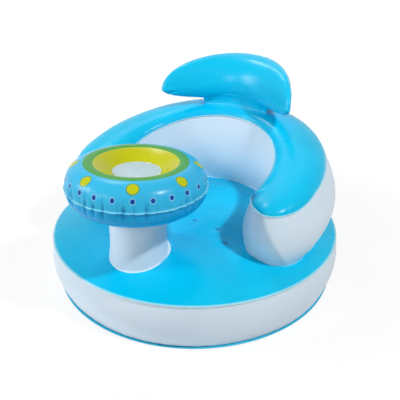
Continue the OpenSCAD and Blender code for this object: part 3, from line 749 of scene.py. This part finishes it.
def head_side_y(px, height, side):
    """Y of the pillow's sheet at a height over its lower edge."""
    u = px / HEAD_HALF_W
    share_in = (HEAD_H / 2 - height) / (HEAD_H / 2 - head_low(u))
    offset = side * (HEAD_T / 2) * np.sqrt(np.maximum(0, 1 - share_in ** 2))
    return HEAD_Y - HEAD_CURL * u ** 2 + tan(radians(HEAD_LEAN)) * height + offset


def neck_side(side):
    """One sheet of the neck, side -1 at the front: each column is a curve from foot over knee to top."""
    across = np.sin(np.linspace(-pi / 2, pi / 2, 96))[None, :]
    px = NECK_SHIFT + NECK_HALF * across
    fade = 1 - across ** 2
    root = head_low(px / HEAD_HALF_W)
    up = root + NECK_SINK + NECK_CLIMB * fade ** 1.1
    top_y, top_z = head_side_y(px, up, side) + NECK_CLEAR * side * fade, HEAD_Z + up
    foot_y = top_y + side * NECK_REACH * fade ** 0.8
    foot_z = back_top_z(px, foot_y) + NECK_CLEAR - NECK_SINK * across ** 8
    pillow_slope = head_side_y(px, up + 0.5, side) - head_side_y(px, up - 0.5, side)
    back_slope = back_top_z(px, foot_y + 0.5) - back_top_z(px, foot_y - 0.5)
    drop = (top_z - foot_z - back_slope * (top_y - foot_y)) / (1 - back_slope * pillow_slope)
    drop = np.clip(drop, 0, top_z - foot_z)
    root_y = head_side_y(px, root, 0)
    knee_y = root_y + side * np.maximum(0, side * (top_y - drop * pillow_slope - root_y))
    t = np.linspace(0, 1, 20)[:, None]
    ny, nz = ((1 - t) ** 2 * foot + 2 * t * (1 - t) * knee + t ** 2 * top for foot, knee, top in (
        (foot_y, knee_y, top_y), (foot_z, top_z - drop, top_z)))
    ny = root_y + (ny - root_y) * np.sqrt(1 - across ** 8)
    waist = 1 - NECK_WAIST * np.sin(pi * t) * np.abs(across) ** 3
    return as_grid(px * waist, ny, nz)


neck = np.concatenate([neck_side(-1)[:, 1:-1], neck_side(1)[:, -2:0:-1]], 1)
headrest_neck = sheet("headrest_neck_film", neck, BLUE_FILM, marks={"weld": np.zeros(neck.shape[:2])})
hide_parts("headrest_root_tab")
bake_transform(headrest_neck)
print("neck", len(headrest_neck.data.vertices), "points")

# %% [markdown]
# ## Post
# The post is a plain white tube of film, welded to the seat with a narrow pale flange and leaning
# back by three degrees. Its lower edge has to follow the crowned seat, so each column looks for
# the height at which the leaning tube meets the seat, by repeating one correction a few times.

# %% Post
POST_R, POST_Y, POST_H, TRAY_LEAN = 51.0, 186.0, 92.0, 3.0
POST_FOOT_Z = 115.591
POST_TOP_IN = 4.0         # how far the tube runs on into the tray
POST_FLARE, POST_WAIST = 2.2, 1.2
SKIRT_OUT, SKIRT_UP = (6.5, 4.0), (0.35, 0.8)    # the flange on the seat: its reach, and its lift


def on_post(grid):
    """Turns a grid in the frame of the post into the seat's frame, in millimetres."""
    c, s = cos(radians(TRAY_LEAN)), sin(radians(TRAY_LEAN))
    px, py, pz = np.moveaxis(grid, -1, 0)
    return as_grid(px, c * py + s * pz - POST_Y, c * pz - s * py + POST_FOOT_Z)


def foot_height(radius, turns, over):
    """Height along the post at which a tube of this radius meets the seat."""
    h = np.zeros_like(radius * turns)
    for _ in range(6):
        p = on_post(rings(radius, turns, h))
        h = h + seat_z(np.hypot(p[..., 0], p[..., 1])) + over - p[..., 2]
    return h


POST_TURNS = spokes(240)
share = np.linspace(0, 1, 40)[:, None]
foot_h = foot_height(POST_R, POST_TURNS, 0.6)
tube_h = foot_h + (POST_H + POST_TOP_IN - foot_h) * share
tube_r = POST_R + POST_FLARE * np.exp(-share * 9) - POST_WAIST * np.sin(pi * share)
tube_r = tube_r - 0.5 * puckers(POST_TURNS * POST_R, share * 95, 2 * pi * POST_R, 26, 4, 15, 71)
tube_r = tube_r + 0.5 * waves(POST_TURNS * POST_R, 0 * share, tube_h * 1.4, 90, 72)
skirt_r = POST_R + np.array(SKIRT_OUT)[:, None]
skirt_h = foot_height(skirt_r, POST_TURNS, np.array(SKIRT_UP)[:, None])
ring_r = np.vstack([skirt_r + 0 * POST_TURNS, tube_r])
post_weld = np.zeros(ring_r.shape)
post_weld[:2], post_weld[2] = 0.9, 0.5
post = sheet("post_film", on_post(rings(ring_r, POST_TURNS, np.vstack([skirt_h, tube_h]))), WHITE_FILM,
             marks={"weld": post_weld})
finish_piece(post, "seat", "white_vinyl", "post_wall", "post_foot_weld")

# %% [markdown]
# ## Tray
# The tray is a ring of air round a shallow dish. Its rim weld is the tightest curve on the
# seat, so this is where puckers show best: each one notches the flange and runs up and down over
# both sheets. The print was made on the flat film before welding. We keep, for each point, its
# place on the flat sheet as a mesh attribute, so that the printed dots bend with the puckers.

# %% Tray sizes and profiles in the frame of the post
TRAY_R, CREST_R, DISC_R = 122.5, 77.0, 41.0    # rim, highest circle and dish floor
RIM_W = 4.0
RIM_UP, CREST_UP, DISH_UP = 133.0, 173.5, 154.5
UNDER, OVER = 41.0, 40.5  # height of the ring of air under and over its rim weld
DOME_POWER = 0.85         # 1 is an ellipse, and less is fuller
DISH_DEEP, DISH_POWER = 18.0, 1.4
SEAM_R = TRAY_R - RIM_W
DOME_STEPS = 60
turn = np.linspace(0, pi / 2, DOME_STEPS)
dome_r = CREST_R + (SEAM_R - CREST_R) * np.cos(turn) ** DOME_POWER
dome_h = RIM_UP + FILM + (OVER - FILM) * np.sin(turn) ** DOME_POWER
dip = np.linspace(0, 1, 30)[1:]
dish_r = CREST_R - (CREST_R - DISC_R - FILM) * dip
dish_h = CREST_UP - DISH_DEEP * dip ** DISH_POWER
profile_r = np.concatenate([dome_r, dish_r])
profile_h = np.concatenate([dome_h, dish_h])
lengths = np.hypot(np.diff(profile_r), np.diff(profile_h))
flat_r = dish_r[-1] + np.concatenate([np.cumsum(lengths[::-1])[::-1], [0]])


def flat_radius(radius, on_dome=True):
    """Radius on the flat sheet of the circle that ends at `radius` on the blown up tray."""
    part = slice(0, DOME_STEPS) if on_dome else slice(DOME_STEPS, None)
    order = np.argsort(profile_r[part])
    return float(np.interp(radius, profile_r[part][order], flat_r[part][order]))


TRAY_TURNS = spokes(420)
print("flat radius of the tray sheet", round(flat_r[0]), "mm")

# %% [markdown]
# ## Printed film
# The print is five inks on blue film: a green ring, a yellow ring inside it, eight
# yellow dots with a dark green rim, and small navy dots with a pale halo, three to each yellow one.
# A row of dots is one dot repeated round the centre: we fold the angle into one sector, and
# measure the distance to that sector's dot. Screen ink lies on the film, so it takes its gloss.

# %% Printed film material
YELLOW_DOTS, NAVY_DOTS = 8, 24
PRINT_TURN = radians(-54.5)    # where the first dot lies
GREEN_EDGE = flat_radius(87.5)
YELLOW_EDGE = flat_radius(70.5, on_dome=False)
YELLOW_DOT_AT, NAVY_DOT_AT = flat_radius(103.5), flat_radius(115.8)
YELLOW_DOT_R, DOT_RIM = 9.4, 1.3
NAVY_DOT_R, NAVY_HALO = 3.9, 1.6
INK_BLUR = 0.35           # millimetres over which an ink's edge fades


def dot_distance(tree, radius, angle, count, at):
    """Distance on the flat sheet to the nearest of `count` dots round a circle."""
    sector = 2 * pi / count
    made = {"radius": radius, "angle": angle}
    sums = (("turned", "SUBTRACT", "angle", PRINT_TURN - sector / 2),
            ("wrapped", "FLOORED_MODULO", "turned", sector), ("inside", "SUBTRACT", "wrapped", sector / 2),
            ("cosine", "COSINE", "inside", 0.0), ("ahead", "MULTIPLY", "radius", "cosine"),
            ("dx", "SUBTRACT", "ahead", at),
            ("sine", "SINE", "inside", 0.0), ("dy", "MULTIPLY", "radius", "sine"))
    for name, operation, first, second in sums:
        sides = {0: made[first], 1: made.get(second, second)}
        made[name] = add(tree, "ShaderNodeMath", sides, operation=operation).outputs[0]
    offset = add(tree, "ShaderNodeCombineXYZ", {"X": made["dx"], "Y": made["dy"]})
    return add(tree, "ShaderNodeVectorMath", {0: offset.outputs[0]}, operation="LENGTH").outputs["Value"]


def screen_printed_film(tree):
    """Film with its inks laid one over the other, from the widest shape to the narrowest."""
    place = add(tree, "ShaderNodeAttribute", attribute_name="print_place").outputs["Vector"]
    parts = add(tree, "ShaderNodeSeparateXYZ", {"Vector": place})
    radius = add(tree, "ShaderNodeVectorMath", {0: place}, operation="LENGTH").outputs["Value"]
    angle = add(tree, "ShaderNodeMath", {0: parts.outputs["Y"], 1: parts.outputs["X"]},
                operation="ARCTAN2").outputs[0]
    big = dot_distance(tree, radius, angle, YELLOW_DOTS, YELLOW_DOT_AT)
    small = dot_distance(tree, radius, angle, NAVY_DOTS, NAVY_DOT_AT)
    colour = tone(tree, "#2AB9E9", "#39BFEC")
    inks = ((small, NAVY_DOT_R + NAVY_HALO, "#86CBEF"), (small, NAVY_DOT_R, "#0746A0"),
            (big, YELLOW_DOT_R + DOT_RIM + 0.6, "#6FCBC6"), (big, YELLOW_DOT_R + DOT_RIM, "#0E7F68"),
            (big, YELLOW_DOT_R, "#C4CB0C"), (radius, GREEN_EDGE, "#3A9C35"),
            (radius, YELLOW_EDGE + 0.8, "#D3DE54"), (radius, YELLOW_EDGE, "#C5C60C"))
    for distance, size, ink in inks:
        inside = add(tree, "ShaderNodeMapRange", {"Value": distance, "From Min": size - INK_BLUR,
                                                  "From Max": size + INK_BLUR, "To Min": 1.0, "To Max": 0.0})
        mix = add(tree, "ShaderNodeMix", {MIX_SHARE: inside.outputs["Result"], MIX_UNDER: colour,
                                          MIX_OVER: linear(ink)}, data_type="RGBA")
        colour = mix.outputs[MIXED]
    # 1285BC is painted shade for the print's folds, #94E4F6 the paler weld band
    return film_surface(tree, weld_tone_and_fold_shade(tree, colour, "#1285BC", "#94E4F6"), 0.28)


PRINTED_FILM = make_material("screen_printed_pvc_film", screen_printed_film)
print("inks at flat radii", [round(r) for r in (YELLOW_EDGE, GREEN_EDGE, YELLOW_DOT_AT, NAVY_DOT_AT)])

# %% [markdown]
# ## Tray top sheet
# One sheet runs from the rim over the dome and down into the dish. The folds at the rim are five
# millimetres deep. Where a fold meets the rim it pulls the flange in and down, so that the pale line
# of the weld breaks there. Two last rings tuck the sheet under the white disc.

# %% Tray top sheet
RIM_LENGTH = 2 * pi * SEAM_R
PUCKER_STEP, PUCKER_WIDE, PUCKER_SEED = 16.5, 2.8, 81
FOLD_OVER, FOLD_UNDER = 5.2, 3.8    # how deep the folds are in the top and in the bottom sheet
FLANGE_PULL, FLANGE_DIP = 1.3, 1.6  # how far a fold pulls the flange in, as a share, and down
over_arc = flat_r[0] - flat_r[:, None]
rim_places = TRAY_TURNS * SEAM_R
fold_over, fold_at_rim = (puckers(rim_places, arc, RIM_LENGTH, PUCKER_STEP, PUCKER_WIDE, 14, PUCKER_SEED)
                          for arc in (over_arc, np.zeros((1, 1))))
plump = 0.6 * waves(rim_places, 0 * over_arc, over_arc, 24, 82) * bell(over_arc - 9, 9)
top_grid = push(rings(profile_r[:, None], TRAY_TURNS, profile_h[:, None]), plump - FOLD_OVER * fold_over)
tilt = 0.7 * waves(rim_places, 0 * rim_places, 0 * rim_places, 17, 83)
flange_out = RIM_W * np.array([[0.6], [0.3]])
rim_out = SEAM_R + flange_out * np.clip(1 - FLANGE_PULL * fold_at_rim, 0.05, 1)
rim_up = RIM_UP + 0.55 + flange_out / RIM_W * FLANGE_DIP * (tilt - fold_at_rim)
tuck_r = DISC_R - np.array([[0.5], [3.0]])
tray_grid = np.concatenate([rings(rim_out, TRAY_TURNS, rim_up), top_grid,
                            rings(tuck_r, TRAY_TURNS, np.full((2, 1), DISH_UP + 0.8))])
flat_all = np.concatenate([flat_r[0] + np.array([3.4, 1.6]), flat_r, tuck_r[:, 0]])[:, None]
weld_share = np.clip(1 - 1.2 * fold_at_rim, 0, 1)
tray_weld, tray_fold_shade = np.zeros((2,) + tray_grid.shape[:2])
tray_weld[:3] = weld_share * np.array([[1.0], [0.9], [0.4]])
# painted shade: the top sheet's puckers are coloured darker where their valleys lie in shade
tray_fold_shade[2:-2] = np.clip(fold_over * 1.2 - 0.2, 0, 0.8)
tray_top = sheet("tray_top_film", on_post(tray_grid), PRINTED_FILM, marks={
    "weld": tray_weld, "print_place": rings(flat_all, TRAY_TURNS, 0 * flat_all), "fold_shade": tray_fold_shade})
finish_piece(tray_top, "seat", "blue_vinyl", "tray_top_sheet", "tray_dish_sheet")

# %% [markdown]
# ## Tray bottom sheet
# The lower sheet is unprinted film in a deeper blue, and that deeper tone also paints part of the
# shade that lies under the tray. It has the same seed for its folds as the top sheet, because both
# were gathered by one weld: each fold runs on from one sheet into the other.

# %% Tray bottom sheet
UNDER_IN = POST_R + 0.3   # radius at which the sheet meets the post
UNDER_POWER = 0.8
VALVE_TRAY = (0.0, -91.2, 207.1)
turn = np.linspace(pi / 2, 0, 56)
under_r = UNDER_IN + (SEAM_R - UNDER_IN) * np.sin(turn) ** UNDER_POWER
under_h = RIM_UP - FILM - (UNDER - FILM) * np.cos(turn) ** UNDER_POWER
under_arc = np.concatenate([[0], np.cumsum(np.hypot(np.diff(under_r), np.diff(under_h)))])[:, None]
under_grid = rings(under_r[:, None], TRAY_TURNS, under_h[:, None])
fold_under = puckers(rim_places, under_arc, RIM_LENGTH, PUCKER_STEP, 3.4, 17, PUCKER_SEED)
plump = 0.6 * waves(rim_places, 0 * under_arc, under_arc, 26, 84) * bell(under_arc - 10, 10)
calm = calm_round(on_post(under_grid), VALVE_TRAY, 24)
under_grid = push(under_grid, calm * (plump - FOLD_UNDER * fold_under), flip=True)
under_all = np.concatenate([rings(rim_out, TRAY_TURNS, rim_up - 0.75), under_grid])
under_weld, under_fold_shade = np.zeros((2,) + under_all.shape[:2])
under_weld[:2] = 0.8 * weld_share
# painted shade: the bottom sheet's puckers are coloured darker where their valleys lie in shade
under_fold_shade[2:] = np.clip(fold_under - 0.2, 0, 0.7)
tray_bottom = sheet("tray_bottom_film", on_post(under_all), DEEP_BLUE_PARTLY_SHADED_FILM, flip=True,
                    marks={"weld": under_weld, "fold_shade": under_fold_shade}, holes=[(VALVE_TRAY, VALVE_HOLE_R)])
finish_piece(tray_bottom, "seat", "deep_blue_vinyl", "tray_bottom_sheet")

# %% [markdown]
# ## White disc in the dish
# The disc closes the top of the post. Its edge is welded to the dish, and it has a soft swell in the
# middle and a few shallow creases that run to the weld. Its film is greyer than the white film:
# that grey is painted shade of the deep dish.

# %% Tray disc
disc_r = np.array([0.4, 4, 9, 14, 19, 24, 28, 32, 35, 37.5, 39.3, 40.3, DISC_R])[:, None]
DISC_TURNS = spokes(160)
DISC_SWELL, DISC_SWELL_R, DISC_WELD_R = 1.6, 39.5, 38.5
disc_h = DISH_UP + 1.1 + DISC_SWELL * np.sqrt(np.maximum(0, 1 - (disc_r / DISC_SWELL_R) ** 2))
disc_h = disc_h - 0.8 * puckers(DISC_TURNS * DISC_R, DISC_R - disc_r, 2 * pi * DISC_R, 22, 4, 24, 91)
disc = sheet("tray_disc_film", on_post(rings(disc_r, DISC_TURNS, disc_h)), SHADED_DISC_FILM,
             marks={"weld": np.clip((disc_r - DISC_WELD_R) / 1.5, 0, 0.5) + 0 * DISC_TURNS})
finish_piece(disc, "seat", "white_vinyl", "tray_disc")

# %% [markdown]
# ## Valves
# The valves are the only moulded parts: soft clear PVC, injected into a polished mould, so they are
# glossy and let light through with a bluish tint. Faint clouds in it come from the way the melt
# flowed. Their solids in the frame are already true, so they keep their shape and get a finish.

# %% Moulded clear PVC
FLOW_MM = 6.0             # usual length of the clouds
RIPPLE_DEEP = 0.4         # height of the ripple that the flow leaves, in millimetres


def moulded_clear_pvc(tree, tint, pale):
    """Principled shader of the clear mouldings, with pale clouds and a faint ripple of the flow."""
    place = add(tree, "ShaderNodeTexCoord").outputs["Object"]
    flow = add(tree, "ShaderNodeTexNoise", {"Vector": place, "Scale": 1 / (FLOW_MM * MM), "Detail": 2.0})
    ripple = add(tree, "ShaderNodeBump", {"Height": flow.outputs["Fac"], "Strength": 0.1,
                                          "Distance": RIPPLE_DEEP * MM})
    clouds = add(tree, "ShaderNodeMix", {MIX_SHARE: flow.outputs["Fac"], MIX_UNDER: linear(tint),
                                         MIX_OVER: linear(pale)}, data_type="RGBA")
    return add(tree, "ShaderNodeBsdfPrincipled", {
        "Base Color": clouds.outputs[MIXED], "Roughness": 0.16, "IOR": PVC_IOR,
        "Transmission Weight": 0.45, "Normal": ripple.outputs["Normal"]})


CLEAR_PVC = make_material("injection_moulded_clear_pvc", moulded_clear_pvc, "#D5EEF8", "#F1FAFD")
for name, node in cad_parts.items():
    if "_valve_" in name:
        node.data.materials.clear()
        node.data.materials.append(CLEAR_PVC)
print("moulded parts", sum("_valve_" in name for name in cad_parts))

# %% [markdown]
# ## Floor
# The seat stands on a sweep of matt white paper. For lamps the paper is a plain diffuse surface, and
# it takes the seat's shadow. The camera and the mirror images in the film should see it white, and
# Light Path tells us which ray asks: those rays mostly see a glow of strength 1. Near the seat a
# fifth of the paper stays in the mix, and that fifth carries the shadow.

# %% Floor
PAPER_SHARE = 0.2         # share of the lit paper that shows near the seat
NEAR, FAR = 0.35, 0.9     # distances from the seat, in metres, between which that share fades
PAPER_FIBRES = 40.0       # clouds of fibre to a metre
FLOOR_HALF = 60.0


def seen_white(tree):
    """1 for a ray from the camera, a mirror image or a look through clear film, and 0 for light."""
    rays = add(tree, "ShaderNodeLightPath").outputs
    seen = rays["Is Camera Ray"]
    for kind in ("Is Glossy Ray", "Is Transmission Ray"):
        seen = add(tree, "ShaderNodeMath", {0: seen, 1: rays[kind]}, operation="MAXIMUM").outputs[0]
    return seen


def white_paper(tree):
    """Matt paper for the lamps, and mostly a white glow for every ray that looks at it."""
    place = add(tree, "ShaderNodeTexCoord").outputs["Object"]
    fibre = add(tree, "ShaderNodeTexNoise", {"Vector": place, "Scale": PAPER_FIBRES})
    paper = add(tree, "ShaderNodeMix", {MIX_SHARE: fibre.outputs["Fac"], MIX_UNDER: linear("#F4F5F7"),
                                        MIX_OVER: linear("#F8F8FA")}, data_type="RGBA")
    matt = add(tree, "ShaderNodeBsdfDiffuse", {"Color": paper.outputs[MIXED]})
    glow = add(tree, "ShaderNodeEmission", {"Color": (1, 1, 1, 1), "Strength": 1.04})
    away = add(tree, "ShaderNodeVectorMath", {0: place}, operation="LENGTH").outputs["Value"]
    bright = add(tree, "ShaderNodeMapRange", {
        "Value": away, "From Min": NEAR, "From Max": FAR, "To Min": 1 - PAPER_SHARE, "To Max": 1.0},
        interpolation_type="SMOOTHSTEP")
    share = add(tree, "ShaderNodeMath", {0: seen_white(tree), 1: bright.outputs["Result"]},
                operation="MULTIPLY")
    return add(tree, "ShaderNodeMixShader", {0: share.outputs[0], 1: matt.outputs[0], 2: glow.outputs[0]})


mesh = bpy.data.meshes.new("studio_floor")
mesh.from_pydata([(a * FLOOR_HALF, b * FLOOR_HALF, 0) for a, b in ((-1, -1), (1, -1), (1, 1), (-1, 1))],
                 [], [(0, 1, 2, 3)])
mesh.materials.append(make_material("white_paper_sweep", white_paper))
floor = bpy.data.objects.new("studio_floor", mesh)
bpy.context.scene.collection.objects.link(floor)
print("floor", 2 * FLOOR_HALF, "metres wide")

# %% [markdown]
# ## Lamps and world
# Shadows tell where the lamps hang. The arm's shadow on the seat asks for a small lamp high on the
# right, and it is the brightest. The lit side of the post and of the base asks for one at the left,
# and the soft spot on the headrest for a small one in front. Four weak ones fill the shadows or
# draw sheens along the top of the back. The world is white to see but gives hardly any light.

# %% Lamps and world
AIM = Vector((0, 0, 0.15))
AMBIENT = 0.02
LAMPS = {                 # the way to each lamp, its distance and size in metres, and its level
    "right": ((0.633, -0.112, 0.766), 1.7, 0.10, 0.54), "left": ((-0.70, -0.55, 0.45), 2.2, 0.65, 0.43),
    "front": ((-0.25, -0.85, 0.47), 2.2, 0.32, 0.15),
    "front_high": ((0.15, -0.60, 0.80), 2.2, 1.2, 0.05),
    "rear_left": ((-0.50, 0.24, 0.84), 1.8, 0.24, 0.14), "rear": ((-0.40, 0.60, 0.69), 2.2, 1.4, 0.06),
    "front_right": ((0.80, -0.50, 0.45), 2.2, 1.2, 0.04)}


def softbox(name, way, distance, size, level):
    """Square lamp that aims at the seat. Level is the brightness it gives to white facing it."""
    lamp = bpy.data.lights.new(name, "AREA")
    lamp.shape, lamp.size = "SQUARE", size
    lamp.energy = level * pi ** 2 * distance ** 2
    holder = bpy.data.objects.new(name, lamp)
    bpy.context.scene.collection.objects.link(holder)
    holder.location = AIM + Vector(way).normalized() * distance
    holder.rotation_euler = (AIM - holder.location).to_track_quat("-Z", "Y").to_euler()


for side, settings in LAMPS.items():
    softbox(f"softbox_{side}", *settings)
world = bpy.data.worlds.new("studio_white")
bpy.context.scene.world = world
world.use_nodes = True
tree = world.node_tree
tree.nodes.clear()
strength = add(tree, "ShaderNodeMapRange", {"Value": seen_white(tree), "To Min": AMBIENT, "To Max": 1.0})
sky = add(tree, "ShaderNodeBackground", {"Color": (1, 1, 1, 1), "Strength": strength.outputs["Result"]})
tree.links.new(sky.outputs[0], add(tree, "ShaderNodeOutputWorld").inputs[0])
bpy.context.scene.view_settings.view_transform = "Standard"
